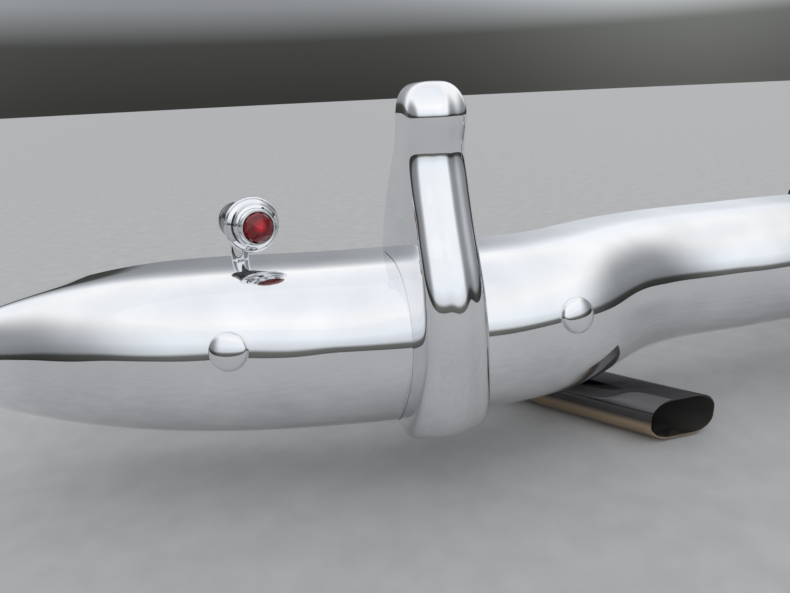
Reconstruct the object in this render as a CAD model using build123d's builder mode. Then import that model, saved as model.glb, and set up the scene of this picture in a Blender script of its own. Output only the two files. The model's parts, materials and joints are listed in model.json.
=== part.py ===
"""Chromed rear bumper assembly of a vintage delivery vehicle, in millimetres.

+Z is up, the vehicle lies towards +Y and the polished face looks towards -Y.
The origin is the middle of the four bolt holes where the two bumper irons meet
the chassis. The assembly is the same on the left, -X, and on the right, +X,
apart from the exhaust tip, which hangs from the left iron.
"""
import os
from math import atan2, cos, degrees, radians, sin, sqrt

from build123d import *

# Face bar: one deep pressing with a raised middle and swept-back ends
BAR_WALL = 3.0
BAR_HEIGHT = 165.0
BAR_DEPTH = 122.0
FACE_RADIUS = 100.0
ROLL_RADIUS = 70.0
FACE_Y = -330.0
BAR_Z = -10.0

# Guards: open-backed pressings that straddle the face bar
GUARD_X = 415.0
GUARD_WALL = 3.0
GUARD_CORNER = 17.0
GUARD_CROWN = 0.16
GUARD_PLATE_THICK = 5.0
GUARD_PLATE_WIDTH = 86.0
GUARD_PLATE_HEIGHT = 60.0
GUARD_PLATE_STAND = 14.0

# Bolts, holes and nuts
CAP_RADIUS = 17.5
CAP_RISE = 7.0
CAP_RIM = 2.0
CAP_ROOT = 3.0
SHANK_RADIUS = 6.0
HOLE_PLAY = 0.5
HEX_ACROSS = 19.0
HEX_THICK = 10.0
THREAD_END = 4.0
WING_BOLT_X = 603.0
BAR_BOLT_X = 284.0
BOLT_Z = 17.0

# Irons and outer arms, flat steel on edge
IRON_THICK = 10.0
IRON_HEIGHT = 56.0
FOOT_WIDTH = 54.0
FOOT_THICK = 16.0
STRAP_SINK = 0.6
PAD_CORNER = 6.0
MOUNT_SPACING_X = 664.0
MOUNT_SPACING_Z = 50.0
MOUNT_HOLE_RADIUS = 6.5
MOUNT_FOOT_MARGIN = 20.0
MOUNT_FOOT_HEIGHT = 86.0
ARM_HEIGHT = 44.0
ARM_THICK = 8.0
ARM_BEND = 30.0
ARM_BOLT_RADIUS = 5.0
ARM_HEX_ACROSS = 16.0
ARM_HEX_THICK = 8.0
ARM_BOLT_YS = (-35.0, -70.0)
ARM_END_Y = -18.0
ARM_TURN_Y = -96.0
KNEE_SHARE = 0.45
START_SHARE = 0.25

# Lamps on top of the bar
LAMP_X = 568.0
LAMP_SETBACK = 80.0
LAMP_RISE = 39.5
LAMP_TURN = 25.0
LAMP_RADIUS = 21.5
LAMP_LENGTH = 50.0
BARREL_END = 0.3
TAIL_START = 0.62
TAIL_RADIUS = 18.5
BEZEL_RADIUS = 26.2
BEZEL_STEP = 19.5
BEZEL_THICK = 13.0
BEZEL_EDGE = 1.0
BEZEL_BAND = 4.0
BEZEL_SLOPE = 2.0
LENS_RADIUS = 14.8
LENS_RISE = 9.0
FOOT_RADIUS = 9.0
FOOT_TOP_RADIUS = 7.0
FOOT_BACK = 38.0
FOOT_ROOT = 12.0

# Exhaust tip, hung from the left iron just below the bar
TIP_CLEAR = 2.5
TIP_WIDTH = 62.0
TIP_HEIGHT = 48.0
TIP_WALL = 2.0
TIP_CORNER = 20.0
TIP_LENGTH = 150.0
TIP_NECK = 50.0
TIP_TURN = 38.0
TIP_RAKE = 18.0
INLET_RADIUS = 23.0
INLET_LENGTH = 78.0
HANGER_Y = -127.0
HANGER_GAP = 35.0
HANGER_THICK = 4.0
HANGER_WIDTH = 26.0
STRAP_TOP = 14.0
STRAP_CORNER = 3.0
HANGER_BOLT_RADIUS = 4.0
HANGER_HEX_ACROSS = 13.0
HANGER_HEX_THICK = 6.5

os.makedirs("parts", exist_ok=True)


def finish(block, label):
    """Label one finished piece and write its file."""
    block.part.label = label
    export_step(block.part, f"parts/{label}.step")


# Stations of the face bar from the middle to its end, the same on both sides:
# x, setback of the face, height share, lift of the lower edge
BAR_STATIONS = [
    (0.0, 58.5, 1.0, 13.5),
    (75.0, 58.5, 1.0, 13.5),
    (150.0, 47.0, 1.0, 11.0),
    (225.0, 16.5, 1.0, 4.0),
    (300.0, 0.5, 1.0, 0.0),
    (380.0, 0.5, 1.0, 0.0),
    (460.0, 6.5, 1.0, 0.0),
    (540.0, 19.5, 1.0, 0.0),
    (620.0, 39.5, 1.0, 0.0),
    (700.0, 66.5, 0.965, 0.0),
    (770.0, 96.0, 0.865, 0.0),
    (830.0, 126.0, 0.69, 0.0),
    (875.0, 151.0, 0.46, 0.0),
    (900.0, 165.5, 0.2, 0.0),
]


def bar_section(x, setback, share, lift, turn, inset):
    """One upright section of the bar, a bulged face between two rolled edges."""
    plane = Plane(
        origin=(x, FACE_Y + setback, BAR_Z),
        x_dir=(-sin(turn), cos(turn), 0),
        z_dir=(cos(turn), sin(turn), 0),
    )
    height = BAR_HEIGHT * share - lift
    middle = lift / 2
    half = height / 2 - inset
    roll = ROLL_RADIUS * height / BAR_HEIGHT - inset
    face = FACE_RADIUS * height / BAR_HEIGHT - inset
    reach = sqrt((face - roll) ** 2 - (half - roll) ** 2)
    crest = inset + face - reach
    back = BAR_DEPTH * height / BAR_HEIGHT + 2 * inset
    cos_join = reach / (face - roll)
    sin_join = (half - roll) / (face - roll)
    lean = atan2(half - roll, reach) / 2 + radians(45)
    roll_in = crest - roll * cos(lean)
    roll_up = half - roll + roll * sin(lean)
    join_in = inset + face - face * cos_join
    join_up = face * sin_join
    with BuildSketch(plane) as section:
        with BuildLine():
            Line((back, middle + half), (crest, middle + half))
            ThreePointArc(
                (crest, middle + half),
                (roll_in, middle + roll_up),
                (join_in, middle + join_up),
            )
            ThreePointArc(
                (join_in, middle + join_up),
                (inset, middle),
                (join_in, middle - join_up),
            )
            ThreePointArc(
                (join_in, middle - join_up),
                (roll_in, middle - roll_up),
                (crest, middle - half),
            )
            Line((crest, middle - half), (back, middle - half))
            Line((back, middle - half), (back, middle + half))
        make_face()
    return section.sketch


def bar_solid(inset):
    """The bar as a solid block, with its outside set in by a distance."""
    rows = [(-x, *rest) for x, *rest in reversed(BAR_STATIONS[1:])] + BAR_STATIONS
    sections = []
    for index, (x, setback, share, lift) in enumerate(rows):
        before = rows[max(index - 1, 0)]
        after = rows[min(index + 1, len(rows) - 1)]
        turn = atan2(after[1] - before[1], after[0] - before[0])
        sections.append(bar_section(x, setback, share, lift, turn, inset))
    with BuildPart() as block:
        loft(sections)
    return block.part


def dome_middle(radius, rim, rise):
    """A point half way along a dome's profile, on a sphere centred on its axis."""
    centre = (rise**2 - rim**2 - radius**2) / (2 * (rise - rim))
    return (radius / 2, centre + sqrt((rise - centre) ** 2 - radius**2 / 4))


bar_outside = bar_solid(0)
bar_inside = bar_solid(BAR_WALL)


def pair(block, name):
    """Write a left piece and its mirror image on the right."""
    finish(block, f"{name}_left")
    with BuildPart() as other:
        add(mirror(block.part, about=Plane.YZ))
    finish(other, f"{name}_right")


def face_plane(x, z):
    """The plane that touches the bar's face at a place and looks out of it."""
    ray = Axis((x, 2 * FACE_Y, z), (0, 1, 0))
    hits = bar_outside.find_intersection_points(ray)
    point, normal = min(hits, key=lambda hit: hit[0].Y)
    if normal.Y > 0:
        normal = normal * -1
    return Plane(point, x_dir=Vector(-normal.Y, normal.X, 0).normalized(), z_dir=normal)


def drill(plane, radius, deep):
    """A straight hole into whatever is being made, along a plane's normal."""
    with BuildSketch(plane.offset(-deep)) as hole:
        Circle(radius)
    extrude(hole.sketch, amount=2 * deep, mode=Mode.SUBTRACT)


def foot_pad(plane, width, height):
    """A pad whose front follows the inside of the bar round a bolt."""
    with BuildPart() as pad:
        with BuildSketch(plane.offset(-BAR_WALL - FOOT_THICK)):
            RectangleRounded(width, height, PAD_CORNER)
        extrude(amount=FOOT_THICK + BAR_WALL)
        add(bar_inside, mode=Mode.INTERSECT)
    return pad.part


def cap_bolt(plane, name):
    """A carriage bolt with a smooth round cap seated on the bar's face."""
    with BuildPart() as bolt:
        with BuildSketch(Plane(plane.origin, x_dir=plane.x_dir, z_dir=-plane.y_dir)):
            with BuildLine():
                Polyline((0, CAP_RISE), (0, -CAP_ROOT), (CAP_RADIUS, -CAP_ROOT), (CAP_RADIUS, CAP_RIM))
                ThreePointArc(
                    (CAP_RADIUS, CAP_RIM),
                    dome_middle(CAP_RADIUS, CAP_RIM, CAP_RISE),
                    (0, CAP_RISE),
                )
            make_face()
        revolve(axis=Axis(plane.origin, plane.z_dir))
        add(bar_outside, mode=Mode.SUBTRACT)
        with BuildSketch(plane.offset(1)):
            Circle(SHANK_RADIUS)
        extrude(amount=-(1 + BAR_WALL + FOOT_THICK + HEX_THICK + THREAD_END))
    pair(bolt, name)


def hex_nut(plane, name):
    """A nut behind a foot pad, on a bolt through the face."""
    with BuildPart() as nut:
        with BuildSketch(plane.offset(-BAR_WALL - FOOT_THICK)):
            RegularPolygon(HEX_ACROSS / 2, 6, major_radius=False)
            Circle(SHANK_RADIUS, mode=Mode.SUBTRACT)
        extrude(amount=-HEX_THICK)
    pair(nut, name)


wing_plane = face_plane(-WING_BOLT_X, BOLT_Z)
bar_plane = face_plane(-BAR_BOLT_X, BOLT_Z)
guard_plane = Plane(face_plane(-GUARD_X, BAR_Z).origin, x_dir=(1, 0, 0), z_dir=(0, -1, 0))
bolt_hole = SHANK_RADIUS + HOLE_PLAY

with BuildPart() as face_bar:
    add(bar_outside)
    add(bar_inside, mode=Mode.SUBTRACT)
    for plane in (wing_plane, bar_plane, guard_plane):
        with BuildSketch(plane.offset(-FOOT_THICK)) as holes:
            Circle(bolt_hole)
        cutter = extrude(holes.sketch, amount=2 * FOOT_THICK, mode=Mode.PRIVATE)
        add(cutter, mode=Mode.SUBTRACT)
        add(mirror(cutter, about=Plane.YZ, mode=Mode.PRIVATE), mode=Mode.SUBTRACT)
finish(face_bar, "face_bar")

cap_bolt(wing_plane, "wing_bolt")
hex_nut(wing_plane, "wing_nut")
cap_bolt(bar_plane, "bar_bolt")
hex_nut(bar_plane, "bar_nut")

# Sections of a guard from the toe up to the cap:
# height, front, rear, half width
GUARD_SECTIONS = [
    (-98.0, 36.0, 104.0, 28.0),
    (-90.0, 8.0, 112.0, 35.5),
    (-70.0, -17.0, 115.0, 38.5),
    (-35.0, -33.0, 116.0, 35.0),
    (10.0, -41.0, 116.0, 30.5),
    (60.0, -37.0, 116.0, 28.5),
    (108.0, -18.0, 106.0, 27.0),
    (150.0, -2.0, 80.0, 26.5),
    (178.0, 5.0, 60.0, 26.0),
    (200.0, 0.0, 50.0, 26.5),
    (216.0, 4.0, 48.0, 25.0),
    (226.0, 13.0, 48.0, 19.0),
    (231.0, 22.0, 44.0, 10.0),
]


def guard_section(row, inset, z_inset):
    """One level section of the left guard: straight sides and a crowned front."""
    height, front, rear, half = row
    y_front = FACE_Y + front + inset
    y_rear = FACE_Y + rear + 20 * inset
    side = half - inset
    corner = min(GUARD_CORNER, side * 0.6)
    crown = side * GUARD_CROWN
    y_side = y_front + corner + crown
    with BuildSketch(Plane((-GUARD_X, 0, height + z_inset))) as section:
        with BuildLine():
            Line((-side, y_rear), (-side, y_side))
            ThreePointArc(
                (-side, y_side),
                (-side + corner * 0.3, y_front + crown + corner * 0.3),
                (-side + corner, y_front + crown),
            )
            ThreePointArc(
                (-side + corner, y_front + crown),
                (0, y_front),
                (side - corner, y_front + crown),
            )
            ThreePointArc(
                (side - corner, y_front + crown),
                (side - corner * 0.3, y_front + crown + corner * 0.3),
                (side, y_side),
            )
            Line((side, y_side), (side, y_rear))
            Line((side, y_rear), (-side, y_rear))
        make_face()
    return section.sketch


def guard_block(inset):
    """The left guard as a solid block, or the hollow inside it."""
    last = len(GUARD_SECTIONS) - 1
    sections = []
    for index, row in enumerate(GUARD_SECTIONS):
        z_inset = 0
        if index == 0:
            z_inset = inset
        if index == last:
            z_inset = -inset
        sections.append(guard_section(row, inset, z_inset))
    with BuildPart() as block:
        loft(sections)
    return block.part


guard_hollow = guard_block(GUARD_WALL)
with BuildPart() as guard_plate:
    with BuildSketch(guard_plane.offset(GUARD_PLATE_STAND)):
        Rectangle(GUARD_PLATE_WIDTH, GUARD_PLATE_HEIGHT)
        Circle(bolt_hole, mode=Mode.SUBTRACT)
    extrude(amount=GUARD_PLATE_THICK)
    add(guard_hollow, mode=Mode.INTERSECT)
with BuildPart() as guard:
    add(guard_block(0))
    add(guard_hollow, mode=Mode.SUBTRACT)
    add(bar_outside, mode=Mode.SUBTRACT)
    add(guard_plate.part)
pair(guard, "guard")

with BuildPart() as guard_clamp:
    add(foot_pad(guard_plane, FOOT_WIDTH, IRON_HEIGHT))
    drill(guard_plane, bolt_hole, 2 * FOOT_THICK)
pair(guard_clamp, "guard_clamp")

with BuildPart() as guard_bolt:
    stand = GUARD_PLATE_STAND + GUARD_PLATE_THICK
    with BuildSketch(guard_plane.offset(stand)):
        RegularPolygon(HEX_ACROSS / 2, 6, major_radius=False)
    extrude(amount=HEX_THICK)
    with BuildSketch(guard_plane.offset(stand)):
        Circle(SHANK_RADIUS)
    extrude(amount=-(stand + BAR_WALL + FOOT_THICK + HEX_THICK + THREAD_END))
pair(guard_bolt, "guard_bolt")
hex_nut(guard_plane, "guard_nut")

# Irons: a foot pad behind the bar, a web on edge and a foot on the chassis
web_in = -(BAR_BOLT_X + FOOT_WIDTH / 2 - IRON_THICK)
web_out = web_in - IRON_THICK
mount_x = -MOUNT_SPACING_X / 2
web_plane = Plane((web_out, 0, 0), x_dir=(0, 1, 0), z_dir=(-1, 0, 0))
with BuildPart() as iron:
    add(foot_pad(bar_plane, FOOT_WIDTH, IRON_HEIGHT))
    web_front = bar_plane.offset(-BAR_WALL - FOOT_THICK * STRAP_SINK)
    web_top = web_front.origin + web_front.y_dir * IRON_HEIGHT / 2
    web_bottom = web_front.origin - web_front.y_dir * IRON_HEIGHT / 2
    with BuildSketch(web_plane):
        with BuildLine():
            Polyline(
                (web_top.Y, web_top.Z),
                (0, IRON_HEIGHT / 2),
                (0, -IRON_HEIGHT / 2),
                (web_bottom.Y, web_bottom.Z),
                close=True,
            )
        make_face()
    extrude(amount=-IRON_THICK)
    with BuildSketch(Plane.XZ):
        with Locations(((web_in + mount_x - MOUNT_FOOT_MARGIN) / 2, 0)):
            RectangleRounded(web_in - mount_x + MOUNT_FOOT_MARGIN, MOUNT_FOOT_HEIGHT, PAD_CORNER)
    extrude(amount=IRON_THICK)
    with BuildSketch(Plane.XZ):
        with Locations((mount_x, 0)):
            with GridLocations(0, MOUNT_SPACING_Z, 1, 2):
                Circle(MOUNT_HOLE_RADIUS)
    extrude(amount=IRON_THICK, mode=Mode.SUBTRACT)
    drill(bar_plane, bolt_hole, 2 * FOOT_THICK)
    with BuildSketch(web_plane):
        for y in ARM_BOLT_YS:
            with Locations((y, 0)):
                Circle(ARM_BOLT_RADIUS + HOLE_PLAY)
        with Locations((HANGER_Y, 0)):
            Circle(HANGER_BOLT_RADIUS + HOLE_PLAY)
    extrude(amount=-IRON_THICK, mode=Mode.SUBTRACT)
pair(iron, "iron")

with BuildPart() as arm:
    add(foot_pad(wing_plane, FOOT_WIDTH, ARM_HEIGHT))
    arm_x = web_out - ARM_THICK / 2
    back = wing_plane.offset(-BAR_WALL - FOOT_THICK * STRAP_SINK)
    knee = back.origin + back.x_dir * FOOT_WIDTH * KNEE_SHARE
    start = back.origin + back.x_dir * FOOT_WIDTH * START_SHARE
    with BuildSketch(Plane.XY.offset(-ARM_HEIGHT / 2)):
        with BuildLine():
            FilletPolyline(
                (arm_x, ARM_END_Y),
                (arm_x, ARM_TURN_Y),
                (knee.X + 2 * ARM_BEND, knee.Y + ARM_BEND),
                (knee.X, knee.Y),
                (start.X, start.Y),
                radius=ARM_BEND / 2,
            )
        trace(line_width=ARM_THICK)
    extrude(amount=ARM_HEIGHT)
    drill(wing_plane, bolt_hole, 2 * FOOT_THICK)
    with BuildSketch(web_plane):
        for y in ARM_BOLT_YS:
            with Locations((y, 0)):
                Circle(ARM_BOLT_RADIUS + HOLE_PLAY)
    extrude(amount=ARM_THICK, mode=Mode.SUBTRACT)
pair(arm, "arm")


def cross_bolts(ys, radius, across, thick, layers_out, layers_in):
    """Hex bolts along X through the web, with their nuts on the inner side."""
    with BuildPart() as bolts:
        for y in ys:
            with BuildSketch(web_plane.offset(layers_out)):
                with Locations((y, 0)):
                    RegularPolygon(across / 2, 6, major_radius=False)
            extrude(amount=thick)
            with BuildSketch(web_plane.offset(layers_out)):
                with Locations((y, 0)):
                    Circle(radius)
            extrude(amount=-(layers_out + layers_in + thick + THREAD_END))
    with BuildPart() as nuts:
        for y in ys:
            with BuildSketch(web_plane.offset(-layers_in)):
                with Locations((y, 0)):
                    RegularPolygon(across / 2, 6, major_radius=False)
                    Circle(radius, mode=Mode.SUBTRACT)
            extrude(amount=-thick)
    return bolts, nuts


arm_bolts, arm_nuts = cross_bolts(
    ARM_BOLT_YS, ARM_BOLT_RADIUS, ARM_HEX_ACROSS, ARM_HEX_THICK, ARM_THICK, IRON_THICK
)
pair(arm_bolts, "arm_bolts")
pair(arm_nuts, "arm_nuts")

# Lamps: a turned foot on the bar, a bullet housing, a stepped bezel and a lens
lamp_face = face_plane(-LAMP_X, BAR_Z).origin.Y
bar_top = BAR_Z + BAR_HEIGHT / 2
lamp_axis = Vector(sin(radians(LAMP_TURN)), -cos(radians(LAMP_TURN)), 0)
lamp_seat = Vector(-LAMP_X, lamp_face + LAMP_SETBACK, bar_top + LAMP_RISE)
lamp_plane = Plane(lamp_seat, x_dir=(0, 0, 1), z_dir=lamp_axis)


def lamp_piece(block, name):
    """Set a turned piece of the lamp at its place, its front along the lamp's axis."""
    with BuildPart() as placed:
        add(lamp_plane.location * block.part)
    pair(placed, name)
    return placed.part


with BuildPart() as housing:
    with BuildSketch(Plane.XZ):
        with BuildLine():
            tail_z = LAMP_LENGTH * TAIL_START
            tail_mid, tail_up = dome_middle(TAIL_RADIUS, tail_z, LAMP_LENGTH)
            Polyline(
                (0, 0),
                (LAMP_RADIUS, 0),
                (LAMP_RADIUS, -LAMP_LENGTH * BARREL_END),
                (TAIL_RADIUS, -tail_z),
            )
            ThreePointArc((TAIL_RADIUS, -tail_z), (tail_mid, -tail_up), (0, -LAMP_LENGTH))
            Line((0, -LAMP_LENGTH), (0, 0))
        make_face()
    revolve(axis=Axis.Z)
lamp_body = lamp_piece(housing, "lamp_housing")

with BuildPart() as bezel:
    with BuildSketch(Plane.XZ):
        with BuildLine():
            Polyline(
                (LENS_RADIUS, 0),
                (BEZEL_RADIUS - BEZEL_EDGE, 0),
                (BEZEL_RADIUS, BEZEL_EDGE),
                (BEZEL_RADIUS, BEZEL_BAND),
                (BEZEL_RADIUS - BEZEL_SLOPE, BEZEL_BAND + BEZEL_SLOPE),
                (BEZEL_STEP + BEZEL_EDGE, BEZEL_BAND + BEZEL_SLOPE + BEZEL_EDGE),
                (BEZEL_STEP, BEZEL_THICK),
                (LENS_RADIUS, BEZEL_THICK),
                close=True,
            )
        make_face()
    revolve(axis=Axis.Z)
lamp_piece(bezel, "lamp_bezel")

with BuildPart() as lens:
    with BuildSketch(Plane.XZ):
        with BuildLine():
            Line((0, 0), (LENS_RADIUS, 0))
            Line((LENS_RADIUS, 0), (LENS_RADIUS, BEZEL_THICK))
            ThreePointArc(
                (LENS_RADIUS, BEZEL_THICK),
                dome_middle(LENS_RADIUS, BEZEL_THICK, BEZEL_THICK + LENS_RISE),
                (0, BEZEL_THICK + LENS_RISE),
            )
            Line((0, BEZEL_THICK + LENS_RISE), (0, 0))
        make_face()
    revolve(axis=Axis.Z)
lamp_piece(lens, "lamp_lens")

foot_point = lamp_seat - lamp_axis * FOOT_BACK
with BuildPart() as lamp_foot:
    with BuildSketch(Plane((foot_point.X, foot_point.Y, bar_top - FOOT_ROOT))):
        Circle(FOOT_RADIUS)
    with BuildSketch(Plane((foot_point.X, foot_point.Y, bar_top + LAMP_RISE))):
        Circle(FOOT_TOP_RADIUS)
    loft()
    add(bar_outside, mode=Mode.SUBTRACT)
    add(lamp_body, mode=Mode.SUBTRACT)
pair(lamp_foot, "lamp_foot")

# Exhaust tip: a rounded box with a slanted mouth, drawn down to a round inlet
tip_z = BAR_Z - BAR_HEIGHT / 2 - TIP_CLEAR - TIP_HEIGHT / 2
tip_dir = Vector(sin(radians(TIP_TURN)), -cos(radians(TIP_TURN)), 0)
ring_middle = Vector(web_in, HANGER_Y, tip_z)
ring_reach = HANGER_WIDTH / 2 + HANGER_GAP + TIP_NECK + TIP_LENGTH
mouth = ring_middle + tip_dir * ring_reach
tip_plane = Plane(mouth, x_dir=(cos(radians(TIP_TURN)), sin(radians(TIP_TURN)), 0), z_dir=tip_dir)


def tip_block(inset):
    """The tip as a solid block, or the passage through it when it is set in."""
    with BuildPart() as block:
        reach = TIP_WIDTH
        with BuildSketch(tip_plane.offset(reach)) as outer:
            RectangleRounded(TIP_WIDTH - 2 * inset, TIP_HEIGHT - 2 * inset, TIP_CORNER - inset)
        extrude(amount=-(reach + TIP_LENGTH))
        with BuildSketch(tip_plane.offset(-TIP_LENGTH)):
            RectangleRounded(TIP_WIDTH - 2 * inset, TIP_HEIGHT - 2 * inset, TIP_CORNER - inset)
        with BuildSketch(tip_plane.offset(-TIP_LENGTH - TIP_NECK)):
            Circle(INLET_RADIUS - inset)
        loft()
        with BuildSketch(tip_plane.offset(-TIP_LENGTH - TIP_NECK)):
            Circle(INLET_RADIUS - inset)
        extrude(amount=-INLET_LENGTH)
    return block.part


with BuildPart() as exhaust_tip:
    add(tip_block(0))
    add(tip_block(TIP_WALL), mode=Mode.SUBTRACT)
    rake = degrees(atan2(TIP_RAKE, TIP_HEIGHT))
    cut_normal = Vector(0, -cos(radians(rake)), -sin(radians(rake)))
    mouth_cut = Plane(mouth, x_dir=(1, 0, 0), z_dir=cut_normal)
    with BuildSketch(mouth_cut):
        Rectangle(6 * TIP_WIDTH, 6 * TIP_WIDTH)
    extrude(amount=4 * TIP_WIDTH, mode=Mode.SUBTRACT)
finish(exhaust_tip, "exhaust_tip")

with BuildPart() as tip_hanger:
    with BuildSketch(tip_plane.offset(-ring_reach - HANGER_WIDTH / 2)):
        Circle(INLET_RADIUS + HANGER_THICK)
    extrude(amount=HANGER_WIDTH)
    strap_plane = Plane((web_in, 0, 0), x_dir=(0, 1, 0), z_dir=(1, 0, 0))
    with BuildSketch(strap_plane):
        with Locations((HANGER_Y, (STRAP_TOP + tip_z) / 2)):
            RectangleRounded(HANGER_WIDTH, STRAP_TOP - tip_z, STRAP_CORNER)
    extrude(amount=HANGER_THICK)
    with BuildSketch(tip_plane.offset(-ring_reach - HANGER_WIDTH)):
        Circle(INLET_RADIUS)
    extrude(amount=2 * HANGER_WIDTH, mode=Mode.SUBTRACT)
    with BuildSketch(strap_plane):
        with Locations((HANGER_Y, 0)):
            Circle(HANGER_BOLT_RADIUS + HOLE_PLAY)
    extrude(amount=HANGER_THICK, mode=Mode.SUBTRACT)
finish(tip_hanger, "tip_hanger")

hanger_bolt, hanger_nut = cross_bolts(
    (HANGER_Y,), HANGER_BOLT_RADIUS, HANGER_HEX_ACROSS, HANGER_HEX_THICK, 0.0, IRON_THICK + HANGER_THICK
)
finish(hanger_bolt, "hanger_bolt")
finish(hanger_nut, "hanger_nut")
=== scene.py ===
import json
from math import atan2, copysign, cos, hypot, pi, radians, sin, sqrt

import bmesh
import bpy
from mathutils import Matrix, Vector

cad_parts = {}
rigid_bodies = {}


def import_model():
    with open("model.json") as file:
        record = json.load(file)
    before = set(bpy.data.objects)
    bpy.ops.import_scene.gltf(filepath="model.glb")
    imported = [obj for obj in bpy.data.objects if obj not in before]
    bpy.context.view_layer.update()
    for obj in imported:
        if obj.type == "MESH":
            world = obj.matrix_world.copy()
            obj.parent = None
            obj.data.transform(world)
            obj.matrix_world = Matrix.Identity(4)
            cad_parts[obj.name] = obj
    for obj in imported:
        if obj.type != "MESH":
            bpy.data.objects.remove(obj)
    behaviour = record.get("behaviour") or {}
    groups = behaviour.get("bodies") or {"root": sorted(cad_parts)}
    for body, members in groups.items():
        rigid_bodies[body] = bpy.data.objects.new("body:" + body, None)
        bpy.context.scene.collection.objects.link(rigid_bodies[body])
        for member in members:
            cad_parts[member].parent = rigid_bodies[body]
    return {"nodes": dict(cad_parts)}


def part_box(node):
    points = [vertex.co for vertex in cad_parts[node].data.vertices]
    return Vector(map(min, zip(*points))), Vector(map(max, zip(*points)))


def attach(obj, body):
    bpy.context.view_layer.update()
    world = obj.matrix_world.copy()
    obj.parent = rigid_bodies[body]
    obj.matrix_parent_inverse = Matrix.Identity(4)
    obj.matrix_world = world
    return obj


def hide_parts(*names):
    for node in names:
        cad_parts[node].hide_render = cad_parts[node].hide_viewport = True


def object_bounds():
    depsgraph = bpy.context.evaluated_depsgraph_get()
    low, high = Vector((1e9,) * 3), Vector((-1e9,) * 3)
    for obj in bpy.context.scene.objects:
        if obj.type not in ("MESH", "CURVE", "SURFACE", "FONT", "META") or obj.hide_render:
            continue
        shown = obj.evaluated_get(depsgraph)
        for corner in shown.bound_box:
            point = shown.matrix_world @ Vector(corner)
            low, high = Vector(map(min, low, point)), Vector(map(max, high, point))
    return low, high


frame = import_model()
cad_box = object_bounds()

bl_info = {
    "name": "Chromed Rear Bumper",
    "version": (1, 0, 0),
    "blender": (4, 5, 0),
    "location": "View3D > Sidebar > Bumper",
    "description": "Dresses a packed rear bumper in chrome plate, enamel, plated steel and red glass",
    "category": "Object",
}

BODY = "root"
# Attribute that holds each lens point's distance from the lens's painted glow, which sets the painted
# glow and shade
PAINTED_GLOW_SHARE = "painted_glow_share"
MM = 0.001

# Points closer than this are one, on drawn pieces and on copies of the solids
DRAWN_MERGE = 0.02 * MM
SKIN_MERGE = 0.002 * MM

# Side of the plane that a drawing starts from, which is merged to a point or deleted
SEED_SIZE = 10 * MM

# The face bar's driving sizes, as in the solids
BAR_HEIGHT = 165 * MM
BAR_DEPTH = 122 * MM
FACE_RADIUS = 100 * MM
ROLL_RADIUS = 70 * MM
FACE_Y = -330 * MM
BAR_Z = -10 * MM
SHEET_WALL = 3 * MM
ROLL_STEPS = 5
FACE_STEPS = 6

# How far inside a sheet's edge the next line of the mesh runs, and the seam between guard and bar
EDGE_SUPPORT = 3 * MM
SEAM_GAP = 0.5 * MM

# How often the rows are corrected, which is enough for them to settle
SETTLE_TURNS = 24

# Stations of the bar, in mm: x, setback of the face, height share, lift of the lower edge
BAR_STATIONS = (
    (0, 58.5, 1, 13.5),
    (75, 58.5, 1, 13.5),
    (150, 47, 1, 11),
    (225, 16.5, 1, 4),
    (300, 0.5, 1, 0),
    (380, 0.5, 1, 0),
    (460, 6.5, 1, 0),
    (540, 19.5, 1, 0),
    (620, 39.5, 1, 0),
    (700, 66.5, 0.965, 0),
    (770, 96, 0.865, 0),
    (830, 126, 0.69, 0),
    (875, 151, 0.46, 0),
    (900, 165.5, 0.2, 0),
)

# The left guard: its place, the rounding of its front corners and the crown of its face
GUARD_X = -415 * MM
GUARD_CORNER = 17 * MM
GUARD_CORNER_SHARE = 0.6
GUARD_CROWN = 0.16

# Rows of a guard from the toe up to the cap, in mm: height, front, rear, half width
GUARD_ROWS = (
    (-98, 36, 104, 28),
    (-90, 8, 112, 35.5),
    (-70, -17, 115, 38.5),
    (-35, -33, 116, 35),
    (10, -41, 116, 30.5),
    (60, -37, 116, 28.5),
    (108, -18, 106, 27),
    (150, -2, 80, 26.5),
    (178, 5, 60, 26),
    (200, 0, 50, 26.5),
    (216, 4, 48, 25),
    (226, 13, 48, 19),
    (231, 22, 44, 10),
)

# Domed caps of the bolts that show on the face
CAP_SPIN_STEPS = 64
CAP_Z = 17 * MM
CAP_RADIUS = 17.5 * MM
CAP_RISE = 7 * MM
CAP_RIM = 2 * MM
CAP_ROOT = 2.5 * MM
CAP_LIP = 1.5 * MM
CAP_EDGE = 0.6 * MM
CAP_BEVEL = 0.8 * MM
CAP_STEPS = 12
CAP_FULLNESS = 0.9
WING_BOLT_X = -603 * MM
BAR_BOLT_X = -284 * MM

# The lamp's bezel has its step at this share of its radius, and the lens springs this far up its depth
BEZEL_SPIN_STEPS = 72
BEZEL_STEP_SHARE = 0.76
LENS_SPRING_SHARE = 0.95

# Points of the lens this close to its base plane are its rim
LENS_RIM_BAND = 0.1 * MM

# The painted glow of the lens, its brightest place, lies this far off its middle, as a share of its
# radius, and the glass is mottled by this much of the way from there to the rim
PAINTED_GLOW_SHIFT = 0.2
GLASS_MOTTLE = 0.25

# The exhaust tip: the middle of its hanger's ring, how far the mouth lies from it, the turn of its
# axis in degrees, and its section
TIP_RING = (-301 * MM, -127 * MM, -119 * MM)
TIP_REACH = 248 * MM
TIP_TURN = 38
TIP_WIDTH = 62 * MM
TIP_HEIGHT = 48 * MM
TIP_CORNER = 20 * MM
TIP_WALL = 2 * MM
TIP_RIM_BEVEL = 0.4 * MM
TIP_POINTS = 48
INLET_RADIUS = 23 * MM

# Stations of the tip: distance back from the mouth in mm, and how round the section is there
TIP_STATIONS = (
    (-45, 0), (-20, 0), (10, 0), (80, 0), (150, 0), (160, 0.12), (170, 0.38), (180, 0.64),
    (190, 0.88), (200, 1), (238, 1), (278, 1),
)

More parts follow.
